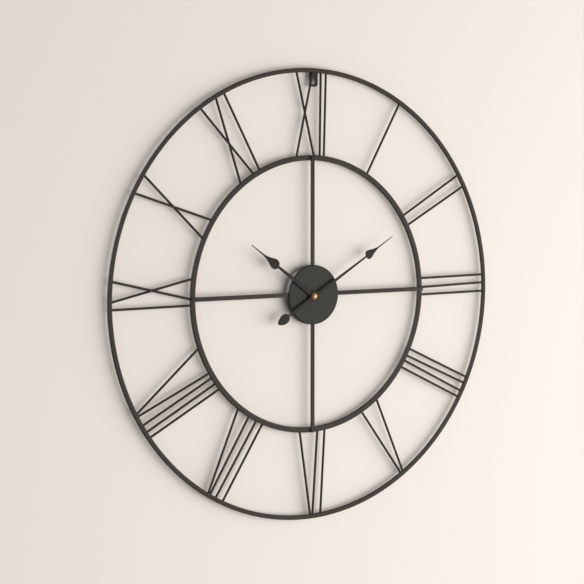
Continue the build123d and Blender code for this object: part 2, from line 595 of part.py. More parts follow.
BOBBIN_WALL = 0.4
core_middle = (0, -(CORE_H + STATOR / 2), COIL_Z)
coil_plane = Plane(origin=(COIL_X[0], core_middle[1], COIL_Z), x_dir=(0, 1, 0), z_dir=(1, 0, 0))
coil_length = COIL_X[1] - COIL_X[0]
sleeve_size = (STATOR + 2 * BOBBIN_WALL, CORE_HEIGHT + 2 * BOBBIN_WALL)
with BuildPart() as coil_bobbin:
    with BuildSketch(coil_plane):
        Rectangle(*sleeve_size)
    extrude(amount=coil_length)
    for offset_along in (0, coil_length - BOBBIN_WALL):
        with BuildSketch(coil_plane.offset(offset_along)):
            Circle(BOBBIN_FLANGE)
        extrude(amount=BOBBIN_WALL)
    with BuildSketch(coil_plane):
        Rectangle(STATOR, CORE_HEIGHT)
    extrude(amount=coil_length, mode=Mode.SUBTRACT)
write(coil_bobbin.part, "coil_bobbin")

with BuildPart() as coil_winding:
    with BuildSketch(coil_plane.offset(BOBBIN_WALL)):
        Circle(COIL_RADIUS - 0.2)
        Rectangle(*sleeve_size, mode=Mode.SUBTRACT)
    extrude(amount=coil_length - 2 * BOBBIN_WALL)
write(coil_winding.part, "coil_winding")

BOARD_X = (14.5, 26.4)
BOARD_Z = (8.0, 26.4)
BOARD_H = 13.6
BOARD = FLOOR - BOARD_H
with BuildPart() as circuit_board:
    block(BOARD_H, BOARD, BOARD_X, BOARD_Z)
write(circuit_board.part, "circuit_board")

CRYSTAL_RADIUS = 1.0
CRYSTAL_LENGTH = 6.0
with BuildPart() as quartz_crystal:
    with BuildSketch(Plane(origin=(23.5, -(BOARD_H - CRYSTAL_RADIUS), 11.0), z_dir=(0, 0, 1))):
        Circle(CRYSTAL_RADIUS)
    extrude(amount=CRYSTAL_LENGTH)
write(quartz_crystal.part, "quartz_crystal")

with BuildPart() as chip:
    disc(BOARD_H - 1.0, 1.0, 2.4, (18.5, 20.5))
write(chip.part, "clock_chip")

# ---------------------------------------------------------------- battery and its contacts
with BuildPart() as battery:
    with BuildSketch(Plane(origin=(BATTERY_END - BATTERY_LENGTH, -BATTERY_H, BATTERY_Z), z_dir=(1, 0, 0))):
        Circle(BATTERY_RADIUS)
    extrude(amount=BATTERY_LENGTH - BATTERY_NUB)
    fillet(battery.edges().filter_by(GeomType.CIRCLE), 0.6)
    with BuildSketch(Plane(origin=(BATTERY_END - BATTERY_NUB, -BATTERY_H, BATTERY_Z), z_dir=(1, 0, 0))):
        Circle(BATTERY_NUB_RADIUS)
    extrude(amount=BATTERY_NUB)
write(battery.part, "battery")

CONTACT_HALF = 5.0
contact_z = (BATTERY_Z - CONTACT_HALF, BATTERY_Z + CONTACT_HALF)
contact_h, contact_height = BATTERY_H - 4.0, FLOOR - BATTERY_H + 4.0
with BuildPart() as contact_plus:
    block(contact_h, contact_height, (INSIDE - CONTACT_SHEET, INSIDE), contact_z)
write(contact_plus.part, "contact_plus")

LEAF_GAP = 0.15
leaf_tip = BATTERY_END - BATTERY_LENGTH - LEAF_GAP
leaf_root = -INSIDE + CONTACT_SHEET
with BuildPart() as contact_minus:
    block(contact_h, contact_height, (-INSIDE, leaf_root), contact_z)
    with BuildSketch(dial_plane(contact_h)):
        with BuildLine():
            Polyline((leaf_root, contact_z[0]), (leaf_tip, BATTERY_Z - 1), (leaf_tip, BATTERY_Z + 1),
                     (leaf_root, contact_z[1]), (leaf_root, contact_z[1] - 2 * CONTACT_SHEET),
                     (leaf_tip - CONTACT_SHEET, BATTERY_Z), (leaf_root, contact_z[0] + 2 * CONTACT_SHEET),
                     close=True)
        make_face()
    extrude(amount=2 * CONTACT_HALF - 2)
write(contact_minus.part, "contact_minus")
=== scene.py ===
# %% [markdown]
# A large open-frame wall clock: two rings of steel bar joined by roman numerals made of rods, four spokes,
# a spun cup with a battery movement behind it, and a pair of spade hands.
# The CAD model gives every size and place. It is loaded first as a fixed frame, in metres, with the axis of
# the hands at the origin, -Y the way the dial faces and the wall at y = 0. Each detailed piece below is built
# around it and rides on one of its bodies, so that it moves as the CAD does.

# %% Load the frame
import json
import math

import bmesh
import bpy
import numpy as np
from mathutils import Matrix, Vector


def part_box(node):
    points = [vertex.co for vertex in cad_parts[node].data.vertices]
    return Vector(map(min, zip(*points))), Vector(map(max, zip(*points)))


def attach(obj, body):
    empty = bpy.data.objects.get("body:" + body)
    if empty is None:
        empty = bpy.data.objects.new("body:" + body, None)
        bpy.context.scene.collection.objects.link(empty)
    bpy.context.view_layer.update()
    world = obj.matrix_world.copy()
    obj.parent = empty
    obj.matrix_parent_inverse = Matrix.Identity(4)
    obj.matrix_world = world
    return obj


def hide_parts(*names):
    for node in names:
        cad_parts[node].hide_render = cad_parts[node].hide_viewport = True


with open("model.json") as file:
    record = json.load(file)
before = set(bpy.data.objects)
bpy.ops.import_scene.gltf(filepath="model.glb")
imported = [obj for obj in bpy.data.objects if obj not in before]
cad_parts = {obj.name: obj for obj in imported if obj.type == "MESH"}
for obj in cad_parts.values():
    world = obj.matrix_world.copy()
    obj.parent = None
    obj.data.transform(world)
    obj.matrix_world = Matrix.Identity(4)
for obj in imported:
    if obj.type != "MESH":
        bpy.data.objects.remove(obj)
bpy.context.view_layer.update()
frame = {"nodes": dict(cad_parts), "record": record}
MM = 0.001
record = frame["record"]
body_of_node = {node: body for body, nodes in record["behaviour"]["bodies"].items() for node in nodes}
slot_of_node = {entry["node"]: entry["material_slot"] for entry in record["subparts"]}

# %% [markdown]
# The camera comes first, since it decides how fine the details need to be. A long lens stands to the left of
# the clock and looks at it almost level. Its small downward shift leaves the clock a little above the middle
# of the picture and keeps the wall's verticals upright, as is usual in pictures of buildings.

# %% Camera
LENS_MM, SENSOR_MM = 93.39, 36.0
SHIFT_DOWN = 0.136986          # of the picture's width
CAMERA_AT = (-1.4183, -2.1391, 0.1949)
TILT, TURN = 88.807, -32.977   # degrees: 90 is level, and less than 0 turns to the right
CLIP_START = 0.01
camera_data = bpy.data.cameras.new("camera")
camera_data.lens, camera_data.sensor_width = LENS_MM, SENSOR_MM
camera_data.shift_y = -SHIFT_DOWN
camera_data.clip_start = CLIP_START
camera = bpy.data.objects.new("camera", camera_data)
camera.location = CAMERA_AT
camera.rotation_euler = (math.radians(TILT), 0.0, math.radians(TURN))
bpy.context.scene.collection.objects.link(camera)
bpy.context.scene.camera = camera
bpy.context.scene.view_settings.view_transform = "Standard"
print("camera", round(camera.location.length, 2), "m from the hands' axis")

# %% [markdown]
# Materials are small node trees. One function turns an sRGB colour from a colour card into Blender's linear
# one, and one adds a node, sets it up and links it. Every pattern reads Object coordinates, which are metres
# here, so a grain of so many millimetres is a noise whose scale is one over that size.

# %% Node helpers
def linear(colour):
    """An sRGB hex colour as the linear red, green, blue and alpha that a shader wants."""
    parts = [int(colour[i:i + 2], 16) / 255 for i in (1, 3, 5)]
    return (*[p / 12.92 if p <= 0.04045 else ((p + 0.055) / 1.055) ** 2.4 for p in parts], 1.0)


def add(tree, kind, inputs=(), **settings):
    """Adds one node, sets its properties, and gives its inputs a value or a link."""
    made = tree.nodes.new(kind)
    for name, value in settings.items():
        setattr(made, name, value)
    for socket, value in dict(inputs).items():
        if isinstance(value, bpy.types.NodeSocket):
            tree.links.new(value, made.inputs[socket])
        else:
            made.inputs[socket].default_value = value
    return made


def per_mm(size):
    """The scale of a texture whose features are size millimetres apart."""
    return 1 / (size * MM)


MOTTLE_RANGE = (0.35, 0.65)    # the part of a noise's range that its values really fill
WAVE_REPEAT = 2 * math.pi / 20  # how far apart a wave texture's bands are at a scale of 1
MICRON = 1e-6


def finish(name, tones, mottle, roughness, grain, marks=None, centre=(0.0, 0.0, 0.0),
           stretch=(1, 1, 1), **shader):
    """A material. tones are two colours that mottle (mm) mixes, and roughness goes between its two values
    with them. grain is (mm apart, microns high). marks, for tool marks, is (wave settings, mm apart,
    microns high). centre moves the pattern, stretch draws it out, and shader sets the shader's sockets."""
    material = bpy.data.materials.new(name)
    material.use_nodes = True
    tree = material.node_tree
    tree.nodes.clear()
    place = add(tree, "ShaderNodeTexCoord").outputs["Object"]
    place = add(tree, "ShaderNodeMapping", {"Vector": place, "Location": [-c for c in centre]}).outputs[0]
    drawn = add(tree, "ShaderNodeMapping", {"Vector": place, "Scale": stretch}).outputs[0]
    noise = add(tree, "ShaderNodeTexNoise", {"Vector": drawn, "Scale": per_mm(mottle), "Detail": 4.0})
    cloud = add(tree, "ShaderNodeMapRange",
                {0: noise.outputs[0], 1: MOTTLE_RANGE[0], 2: MOTTLE_RANGE[1]}).outputs[0]
    fine = add(tree, "ShaderNodeTexNoise", {"Vector": drawn, "Scale": per_mm(grain[0]), "Detail": 2.0})
    colour = add(tree, "ShaderNodeMix", {0: cloud, 6: linear(tones[0]), 7: linear(tones[1])},
                 data_type="RGBA")
    rough = add(tree, "ShaderNodeMapRange", {0: cloud, 3: roughness[0], 4: roughness[1]})
    bump = add(tree, "ShaderNodeBump", {"Height": fine.outputs[0], "Distance": grain[1] * MICRON,
                                        "Strength": 1.0})
    if marks:
        wave, apart, height = marks
        lines = add(tree, "ShaderNodeTexWave",
                    {"Vector": place, "Scale": WAVE_REPEAT * per_mm(apart), "Distortion": 1.5,
                     "Detail": 2.0, "Detail Scale": 0.3}, **wave)
        bump = add(tree, "ShaderNodeBump", {"Height": lines.outputs["Fac"], "Distance": height * MICRON,
                                            "Strength": 1.0, "Normal": bump.outputs[0]})
    bsdf = add(tree, "ShaderNodeBsdfPrincipled",
               {"Base Color": colour.outputs[2], "Roughness": rough.outputs[0], "Normal": bump.outputs[0],
                **{socket.replace("_", " "): value for socket, value in shader.items()}})
    add(tree, "ShaderNodeOutputMaterial", {"Surface": bsdf.outputs[0]})
    return material


RINGS_ABOUT_Y = dict(wave_type="RINGS", rings_direction="Y")
BANDS_ALONG_X = dict(wave_type="BANDS", bands_direction="X")
print("a grain 1.3 mm apart is a noise of scale", round(per_mm(1.3)))

# %% [markdown]
# The dial is mild steel bar and rod with a matt black powder coat. Powder is sprayed on dry and melted in an
# oven, so it flows into a soft orange peel about a millimetre across, and its black is a little brown.
# It is made as a dielectric over a dark base: the coat hides the steel altogether, so nothing is metallic.

# %% Powder coat on steel
powder_coat = finish("Powder_Coated_Mild_Steel", ("#2d2823", "#36312a"), 38, (0.46, 0.58), (1.3, 26),
                     Specular_IOR_Level=0.2)
print("dial finish", powder_coat.name)

# %% [markdown]
# The cup was spun from sheet over a wooden form, and its satin enamel is thin enough to keep the faint
# rings that the spinning tool left. The rings are drawn about 2 mm apart, coarser than real ones, so that
# they show.

# %% Satin enamel on spun steel
def middle_of(node):
    low, high = (Vector(corner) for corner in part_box(node))
    return (low + high) / 2


cup_centre = middle_of("centre_cup")
satin_enamel = finish("Satin_Enamel_Spun_Steel", ("#232621", "#2d2e28"), 26, (0.3, 0.42), (0.9, 10),
                      (RINGS_ABOUT_Y, 2.2, 14), (cup_centre.x, 0.0, cup_centre.z), Specular_IOR_Level=0.14)
print("cup's middle", [round(v / MM, 2) for v in cup_centre])

# %% [markdown]
# The hands are stamped from thin sheet and dipped in black lacquer, which is smoother than the powder coat
# and catches the light along the flats. The movement's small turned parts are brass: a metal, so its colour
# is in its reflection, with fine rings from the lathe. The collets get a darker copy of the brass, which is
# painted shade for the shadow of the nut and hands on them. Nuts, washer and springs are plated steel.

# %% Hands and turned metal
lacquer = finish("Black_Lacquer_On_Sheet", ("#191512", "#241f1b"), 12, (0.3, 0.42), (0.8, 8),
                 Specular_IOR_Level=0.13)
brass = finish("Turned_Brass", ("#94785a", "#a98d6c"), 3, (0.26, 0.38), (0.25, 3), (RINGS_ABOUT_Y, 0.4, 5),
               Metallic=1.0)
# A darker copy of the same brass for the collets: painted shade, standing in for the shadow that the nut and
# hands cast on them.
brass_with_painted_shade = finish("Brass_Darkened_As_Painted_Shade", ("#4a3020", "#6b452b"), 3, (0.3, 0.45), (0.25, 4),
                    (RINGS_ABOUT_Y, 0.4, 6), Metallic=1.0)
zinc_plate = finish("Zinc_Plated_Steel", ("#a8a7a2", "#bdbcb8"), 4, (0.28, 0.4), (0.3, 3),
                    (RINGS_ABOUT_Y, 0.5, 4), Metallic=1.0)
nickel = finish("Nickel_Plated_Spring_Steel", ("#b9b6ab", "#cac8bf"), 5, (0.2, 0.3), (0.4, 2),
                stretch=(1, 0.1, 1), Metallic=1.0)
soft_iron = finish("Soft_Iron_Sheet", ("#8b8a88", "#9d9c99"), 3, (0.34, 0.46), (0.3, 4), stretch=(0.1, 1, 1),
                   Metallic=1.0)
print("metals", [m.name for m in (brass, brass_with_painted_shade, zinc_plate, nickel, soft_iron)])

# %% [markdown]
# The movement is moulded ABS. Its tool was spark eroded, so the plastic has a fine even grain that keeps it
# from shining. The wheels and the knob are natural acetal, milky and a little waxy. The small parts inside
# have their own finish too: a green board, a black chip, enamelled copper wire, and a grey magnet.

# %% Plastics and the small parts inside
abs_black = finish("Moulded_ABS_Black", ("#1c1c1d", "#242425"), 14, (0.5, 0.62), (0.45, 14))
acetal = finish("Natural_Acetal_Wheels", ("#dedbd0", "#e8e5db"), 4, (0.34, 0.44), (0.5, 4),
                Subsurface_Weight=0.15, Subsurface_Scale=0.001)
acetal_knob = finish("Moulded_Acetal_Knob", ("#cfccc2", "#dbd8cf"), 5, (0.4, 0.5), (0.4, 8))
rubber = finish("Moulded_Rubber_Gasket", ("#171717", "#1f1e1e"), 5, (0.7, 0.85), (0.4, 16))
solder_mask = finish("Green_Solder_Mask", ("#1a5a30", "#25703e"), 3, (0.25, 0.4), (0.4, 6),
                     (BANDS_ALONG_X, 0.8, 12))
potting = finish("Black_Potting_Resin", ("#141414", "#1c1b1b"), 3, (0.2, 0.35), (0.6, 10))
nylon = finish("Natural_Nylon_Bobbin", ("#d8d4c6", "#e2dfd3"), 4, (0.4, 0.5), (0.5, 5))
copper_wire = finish("Enamelled_Copper_Wire", ("#8a3d1c", "#a34f27"), 2, (0.2, 0.3), (0.3, 3),
                     (BANDS_ALONG_X, 0.3, 40), Coat_Weight=0.6, Coat_Roughness=0.1)
ferrite = finish("Sintered_Magnet", ("#4a4a4c", "#59595b"), 2, (0.45, 0.6), (0.3, 8), Metallic=0.6)
copper_band, jacket = (
    finish(name, tones, 10, (0.22, 0.32), (1.5, 4), Coat_Weight=0.4, Coat_Roughness=0.15)
    for name, tones in (("Copper_Coloured_Film", ("#9a5f3a", "#a96c45")),
                        ("Printed_Film_Jacket", ("#22282e", "#2a3138"))))
print("plastics and small parts", [m.name for m in (abs_black, acetal, acetal_knob, rubber, nylon, jacket)])

# %% Give every CAD node the finish of its slot
finish_of_slot = dict(
    dial_metal=powder_coat, cup_metal=satin_enamel, hand_metal=lacquer, case_plastic=abs_black, brass=brass,
    plated_steel=zinc_plate, gasket_rubber=rubber, board=solder_mask, can_metal=nickel, chip_resin=potting,
    bobbin_plastic=nylon, winding=copper_wire, core_iron=soft_iron, contact_metal=nickel,
    wheel_plastic=acetal, knob_plastic=acetal_knob, magnet=ferrite, battery_jacket=jacket)
for name, node in frame["nodes"].items():
    node.data.materials.clear()
    node.data.materials.append(finish_of_slot[slot_of_node[name]])
print("finishes", len(set(finish_of_slot.values())))

# %% [markdown]
# Three helpers make pieces. The first evaluates an object's modifiers into one plain mesh, so that nothing
# live is left. The second takes the place of CAD nodes: it rides on their body and hides them. The
# third copies a CAD node, merges its loose triangles into clean faces and rounds its edges, which is how a
# stamped, moulded or sawn edge really is: no edge in a factory is perfectly sharp, and the rounding catches
# light.

# %% Piece helpers
MERGE = 1e-6                   # points closer than a micron are one
FLAT_ENOUGH = 0.01             # radians between two triangles of one flat face
EDGE_STEPS, SHARP_DEGREES = 3, 28


def link(name, mesh):
    made = bpy.data.objects.new(name, mesh)
    bpy.context.scene.collection.objects.link(made)
    return made


def settle(piece, name):
    """The piece with its modifiers applied, as a new plain mesh at the origin."""
    shape = piece.evaluated_get(bpy.context.evaluated_depsgraph_get())
    mesh = bpy.data.meshes.new_from_object(shape)
    bpy.data.objects.remove(piece)
    mesh.name = name
    return link(name, mesh)


def stands_for(piece, *nodes):
    """The piece replaces these CAD nodes: it moves with their body, and the nodes are hidden."""
    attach(piece, body_of_node[nodes[0]])
    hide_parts(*nodes)
    return piece


def rounded(node, edge_mm):
    """A copy of a CAD node with clean faces and rounded edges, which then stands for it."""
    mesh = frame["nodes"][node].data.copy()
    shape = bmesh.new()
    shape.from_mesh(mesh)
    bmesh.ops.remove_doubles(shape, verts=shape.verts, dist=MERGE)
    bmesh.ops.dissolve_limit(shape, angle_limit=FLAT_ENOUGH, verts=shape.verts, edges=shape.edges)
    bmesh.ops.recalc_face_normals(shape, faces=shape.faces)
    for face in shape.faces:
        face.smooth = True
    shape.to_mesh(mesh)
    shape.free()
    piece = link(node + "_detail", mesh)
    bevel = piece.modifiers.new("edges", "BEVEL")
    bevel.width, bevel.segments, bevel.limit_method = edge_mm * MM, EDGE_STEPS, "ANGLE"
    bevel.angle_limit = math.radians(SHARP_DEGREES)
    bevel.harden_normals = True
    return stands_for(settle(piece, node + "_detail"), node)


print("nodes to stand for", len(slot_of_node))


# %% [markdown]
# The two rings are the main shape, and they follow a rule: a flat bar with rolled edges bent into a circle.
# So they are made by Geometry Nodes: a circle is swept with a rounded rectangle. The inputs are the bar's
# sizes, read from the CAD node's box, and the circle has enough steps to look round from close by.

# %% The tree that bends a bar into a ring
def tree_with(name, sockets):
    """A Geometry Nodes tree with these inputs, its input node, and a function that ends it."""
    tree = bpy.data.node_groups.new(name, "GeometryNodeTree")
    tree.interface.new_socket("Geometry", in_out="INPUT", socket_type="NodeSocketGeometry")
    for label, kind in sockets.items():
        tree.interface.new_socket(label, in_out="INPUT", socket_type="NodeSocket" + kind)
    tree.interface.new_socket("Geometry", in_out="OUTPUT", socket_type="NodeSocketGeometry")
    start = tree.nodes.new("NodeGroupInput")

    def end(geometry):
        real = add(tree, "GeometryNodeRealizeInstances", {0: geometry})
        smooth = add(tree, "GeometryNodeSetShadeSmooth", {"Geometry": real.outputs[0]})
        painted = add(tree, "GeometryNodeSetMaterial", {"Geometry": smooth.outputs[0],
                                                        "Material": start.outputs["Material"]})
        add(tree, "NodeGroupOutput", {0: painted.outputs[0]})
    return tree, start.outputs, end


def grow(tree, name, values, mesh=None):
    """Runs a tree on a mesh with its inputs set, and returns the plain mesh object it makes."""
    piece = link(name, mesh or bpy.data.meshes.new(name))
    modifier = piece.modifiers.new(name, "NODES")
    modifier.node_group = tree
    for item in tree.interface.items_tree:
        if item.in_out == "INPUT" and item.name in values:
            modifier[item.identifier] = values[item.name]
    return settle(piece, name)


ring_tree, given, end = tree_with("Ring_Of_Bar", dict(
    Radius="Float", Width="Float", Depth="Float", Corner="Float", Steps="Int", Material="Material"))
circle = add(ring_tree, "GeometryNodeCurvePrimitiveCircle", {"Resolution": given["Steps"],
                                                             "Radius": given["Radius"]})
section = add(ring_tree, "GeometryNodeCurvePrimitiveQuadrilateral", {"Width": given["Width"],
                                                                     "Height": given["Depth"]})
section = add(ring_tree, "GeometryNodeFilletCurve", {"Curve": section.outputs[0], "Count": 4,
                                                     "Radius": given["Corner"]}, mode="POLY")
bar = add(ring_tree, "GeometryNodeCurveToMesh", {"Curve": circle.outputs[0],
                                                 "Profile Curve": section.outputs[0]})
turned = add(ring_tree, "GeometryNodeTransform", {"Geometry": bar.outputs[0],
                                                  "Rotation": (math.radians(90), 0.0, 0.0)})
end(turned.outputs[0])
print("ring tree nodes", len(ring_tree.nodes))

# %% Both rings
STEPS = 384
CORNER_MM = 0.9
for node in ("outer_ring", "inner_ring"):
    low, high = (Vector(c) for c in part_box(node))
    middle = (low + high) / 2
    inside = min(math.hypot(vertex.co.x - middle.x, vertex.co.z - middle.z)
                 for vertex in frame["nodes"][node].data.vertices)
    outside, depth = (high.x - low.x) / 2, high.y - low.y
    ring = grow(ring_tree, node + "_bar", dict(
        Radius=(outside + inside) / 2, Width=outside - inside, Depth=depth, Corner=CORNER_MM * MM,
        Steps=STEPS, Material=powder_coat))
    ring.data.transform(Matrix.Translation(middle))
    stands_for(ring, node)
    print(node, "bar", round((outside - inside) / MM, 2), "by", round(depth / MM, 2), "mm, made",
          [round(d / MM, 2) for d in ring.dimensions])

# %% [markdown]
# The numerals are straight round rods, welded in between the rings. Each rod's two ends are measured from the
# CAD solid: its long axis, and the middle of the rim at each end. The ends become a mesh of loose edges, and
# a Geometry Nodes tree turns every edge into a round rod with a small weld bead where it meets a ring. Beads
# from a hand-held torch are never alike, so their sizes are random, with a fixed seed.

# %% The tree that makes rods and weld beads
ROD_SIDES = 20
BEAD_LEAST, BEAD_MOST = (0.85, 0.6, 0.85), (1.12, 0.8, 1.12)   # of its radius, and flatter front to back
rod_tree, given, end = tree_with("Welded_Rods", dict(
    Radius="Float", Bead="Float", Seed="Int", Material="Material"))
edges = rod_tree.nodes["Group Input"].outputs["Geometry"]
axes = add(rod_tree, "GeometryNodeMeshToCurve", {"Mesh": edges})
round_section = add(rod_tree, "GeometryNodeCurvePrimitiveCircle", {"Resolution": ROD_SIDES,
                                                                   "Radius": given["Radius"]})
rods = add(rod_tree, "GeometryNodeCurveToMesh", {"Curve": axes.outputs[0], "Fill Caps": True,
                                                 "Profile Curve": round_section.outputs[0]})
ball = add(rod_tree, "GeometryNodeMeshIcoSphere", {"Radius": given["Bead"], "Subdivisions": 3})
size = add(rod_tree, "FunctionNodeRandomValue", {"Min": BEAD_LEAST, "Max": BEAD_MOST,
                                                 "Seed": given["Seed"]}, data_type="FLOAT_VECTOR")
at_ring = add(rod_tree, "GeometryNodeInputNamedAttribute", {"Name": "at_ring"}, data_type="BOOLEAN")
beads = add(rod_tree, "GeometryNodeInstanceOnPoints", {
    "Points": edges, "Instance": ball.outputs[0], "Scale": size.outputs[0], "Selection": at_ring.outputs[0]})
both = add(rod_tree, "GeometryNodeJoinGeometry")
for part in (rods, beads):
    rod_tree.links.new(part.outputs[0], both.inputs[0])
end(both.outputs[0])
print("rod tree nodes", len(rod_tree.nodes))

# %% Two measures of a rod
SINK_MM, RIM_MM = 0.6, 3.0      # how far a rod's end sinks into its weld, and how long its rim is


def loose_parts(mesh):
    """The points of each separate solid in a mesh, with the loose triangles merged."""
    shape = bmesh.new()
    shape.from_mesh(mesh)
    bmesh.ops.remove_doubles(shape, verts=shape.verts, dist=MERGE)
    left, parts = set(shape.verts), []
    while left:
        group, queue = [], [left.pop()]
        while queue:
            corner = queue.pop()
            group.append(corner.co.copy())
            for edge in corner.link_edges:
                other = edge.other_vert(corner)
                if other in left:
                    left.remove(other)
                    queue.append(other)
        parts.append(np.array([tuple(c) for c in group]))
    shape.free()
    return parts


def rod_axis(points):
    """The two ends of a rod's axis, sunk a little way into whatever it is welded to."""
    middle = points.mean(axis=0)
    along = np.linalg.svd(points - middle, full_matrices=False)[2][0]
    reach = (points - middle) @ along
    ends = []
    for sign in (-1, 1):
        rim = points[sign * reach > max(sign * reach) - RIM_MM * MM]
        ends.append(rim.mean(axis=0) + sign * along * SINK_MM * MM)
    return ends


print("first numeral's solids", len(loose_parts(frame["nodes"]["numeral_one"].data)))

# %% Every numeral
dial_centre = middle_of("outer_ring")
inner_radius, outer_radius = ((high[0] - low[0]) / 2 for low, high in (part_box("inner_ring"),
                                                                       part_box("outer_ring")))
NUMERALS = "one two three four five six seven eight nine ten eleven twelve".split()
ROD_MM, BEAD_MM = 2.0, 2.5      # radii
NEAR_INNER_MM, NEAR_OUTER_MM = 4, 12
rod_count = 0
for seed, hour in enumerate(NUMERALS):
    node = "numeral_" + hour
    points, edge_list, welded = [], [], []
    for solid in loose_parts(frame["nodes"][node].data):
        edge_list.append((len(points), len(points) + 1))
        for end_point in rod_axis(solid):
            radius = math.hypot(end_point[0] - dial_centre.x, end_point[2] - dial_centre.z)
            welded.append(abs(radius - inner_radius) < NEAR_INNER_MM * MM
                          or abs(radius - outer_radius) < NEAR_OUTER_MM * MM)
            points.append(end_point)
    mesh = bpy.data.meshes.new(node + "_axes")
    mesh.from_pydata([tuple(p) for p in points], edge_list, [])
    mark = mesh.attributes.new("at_ring", "BOOLEAN", "POINT")
    mark.data.foreach_set("value", welded)
    stands_for(grow(rod_tree, node + "_rods", dict(
        Radius=ROD_MM * MM, Bead=BEAD_MM * MM, Seed=seed, Material=powder_coat), mesh), node)
    rod_count += len(edge_list)
print("rods", rod_count)

# %% [markdown]
# The spokes are flat bar that lies on the front of the inner ring and runs in to the cup. The hanger is a
# small plate under the outer ring, with a keyhole for a wall screw. Both are cut from strip, so their edges
# are rolled or filed a little round: copies of the CAD solids with rounded edges give that.

# %% Spokes and hanger
SPOKE_EDGE_MM, HANGER_EDGE_MM = 0.6, 0.25
for side in ("top", "right", "bottom", "left"):
    spoke = rounded("spoke_" + side, SPOKE_EDGE_MM)
    print("spoke", side, [round(d / MM, 1) for d in spoke.dimensions])
rounded("hanger_tab", HANGER_EDGE_MM)

# %% [markdown]
# The cup is spun sheet, so it is made as a lathe does it: circles joined one to the next. Its hole sits on
# the axis of the hands, which is a little off the cup's middle, and each circle may have its own centre for
# that.

# %% A lathe whose circles may have their own centres
CREASE_DEGREES = 40
FLAT_WEIGHT = 80               # how much a large flat face outweighs its neighbours in the shading


def turned_piece(name, circles, material, steps=192, closed=True):
    """Joins circles of (centre x, centre z, radius, y) in order; closed joins the last one to the first."""
    shape = bmesh.new()
    loops = [[shape.verts.new((x + r * math.cos(2 * math.pi * k / steps), y,
                               z + r * math.sin(2 * math.pi * k / steps))) for k in range(steps)]
             for x, z, r, y in circles]
    pairs = zip(loops, loops[1:] + loops[:1] if closed else loops[1:])
    for first, second in pairs:
        for k in range(steps):
            shape.faces.new((first[k - 1], first[k], second[k], second[k - 1]))
    if not closed:
        shape.faces.new(loops[0])
        shape.faces.new(loops[-1])
    for face in shape.faces:
        face.smooth = True
    bmesh.ops.recalc_face_normals(shape, faces=shape.faces)
    mesh = bpy.data.meshes.new(name)
    shape.to_mesh(mesh)
    shape.free()
    mesh.materials.append(material)
    piece = link(name, mesh)
    mesh.set_sharp_from_angle(angle=math.radians(CREASE_DEGREES))
    weighted = piece.modifiers.new("flat_faces", "WEIGHTED_NORMAL")
    weighted.keep_sharp, weighted.weight = True, FLAT_WEIGHT
    return settle(piece, name)


def arc(centre_r, centre_y, radius, start, stop, count):
    """(r, y) points on an arc, in degrees from the outward direction towards the wall."""
    return [(centre_r + radius * math.cos(math.radians(a)), centre_y + radius * math.sin(math.radians(a)))
            for a in np.linspace(start, stop, count)]


# %% The cup
low, high = (Vector(c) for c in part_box("centre_cup"))
rim, front, back = (high.x - low.x) / 2, low.y, high.y
SHEET_MM, SHOULDER_MM, HOLE_MM = 1.2, 1.8, 4.0
RIM_ROUND_MM, RIM_TUCK_MM, HOLE_EDGE_MM = 0.3, 0.2, 0.15
sheet, shoulder, hole_radius = SHEET_MM * MM, SHOULDER_MM * MM, HOLE_MM * MM
rim_round, hole_edge = RIM_ROUND_MM * MM, HOLE_EDGE_MM * MM
outside = ([(rim - sheet / 2, back)] + arc(rim - rim_round, back - rim_round, rim_round, 60, 0, 4)
           + arc(rim - shoulder, front + shoulder, shoulder, 0, -90, 9))
inside = (arc(rim - shoulder, front + shoulder, shoulder - sheet, -90, 0, 5)
          + [(rim - sheet, back - rim_round), (rim - sheet + RIM_TUCK_MM * MM, back)])
hole = [(hole_radius + hole_edge, front), (hole_radius, front + hole_edge), (hole_radius, front + sheet)]


def about(x, z, points):
    """Circles for the lathe that share one centre."""
    return [(x, z, r, y) for r, y in points]


cup = turned_piece("centre_cup_spun", about(cup_centre.x, cup_centre.z, outside) + about(0.0, 0.0, hole)
                   + about(cup_centre.x, cup_centre.z, inside), satin_enamel)
stands_for(cup, "centre_cup")
print("cup", [round(d / MM, 2) for d in cup.dimensions])

# %% [markdown]
# The hands are stamped from sheet: a flat outline, with edges that the die rounds on one side and tumbling
# rounds on the other. The collets, nuts and washer round the axis get a turned or tumbled edge in the same
# way.

# %% Hands and the parts round the axis
AXIS_EDGES_MM = dict(hour_hand=0.16, minute_hand=0.16, hour_collet=0.15, minute_collet=0.2, minute_nut=0.3,
                     hex_nut=0.3, dial_washer=0.12, minute_arbor=0.12)
for node, edge in AXIS_EDGES_MM.items():
    piece = rounded(node, edge)
    # The collets take the darker brass copy, which is painted shade.
    if node.endswith("collet"):
        piece.data.materials[0] = brass_with_painted_shade
print("round the axis", len(AXIS_EDGES_MM), "pieces")

# %% [markdown]
# Behind the cup is a standard battery movement. Its moulded case has rounded corners, and so have the knob
# and the cover. Only its back shows, in views from behind.

# %% The movement's case
CASE_EDGES_MM = dict(movement_case=0.5, rear_cover=0.3, setting_knob=0.15, contact_plus=0.08,
                     contact_minus=0.08, rubber_gasket=0.1, circuit_board=0.1, clock_chip=0.2)
for node, edge in CASE_EDGES_MM.items():
    rounded(node, edge)
print("movement", len(CASE_EDGES_MM), "pieces")

# %% [markdown]
# The cell is an AA size: a steel can in a printed film jacket that is shrunk over its ends, with the
# positive button standing out of one end. The film is plain, with one band of another colour. Can, film and
# button are lists of (radius, place along the cell) in millimetres, turned as one closed shape. The faces
# between the film's two ends then get the film's finish.

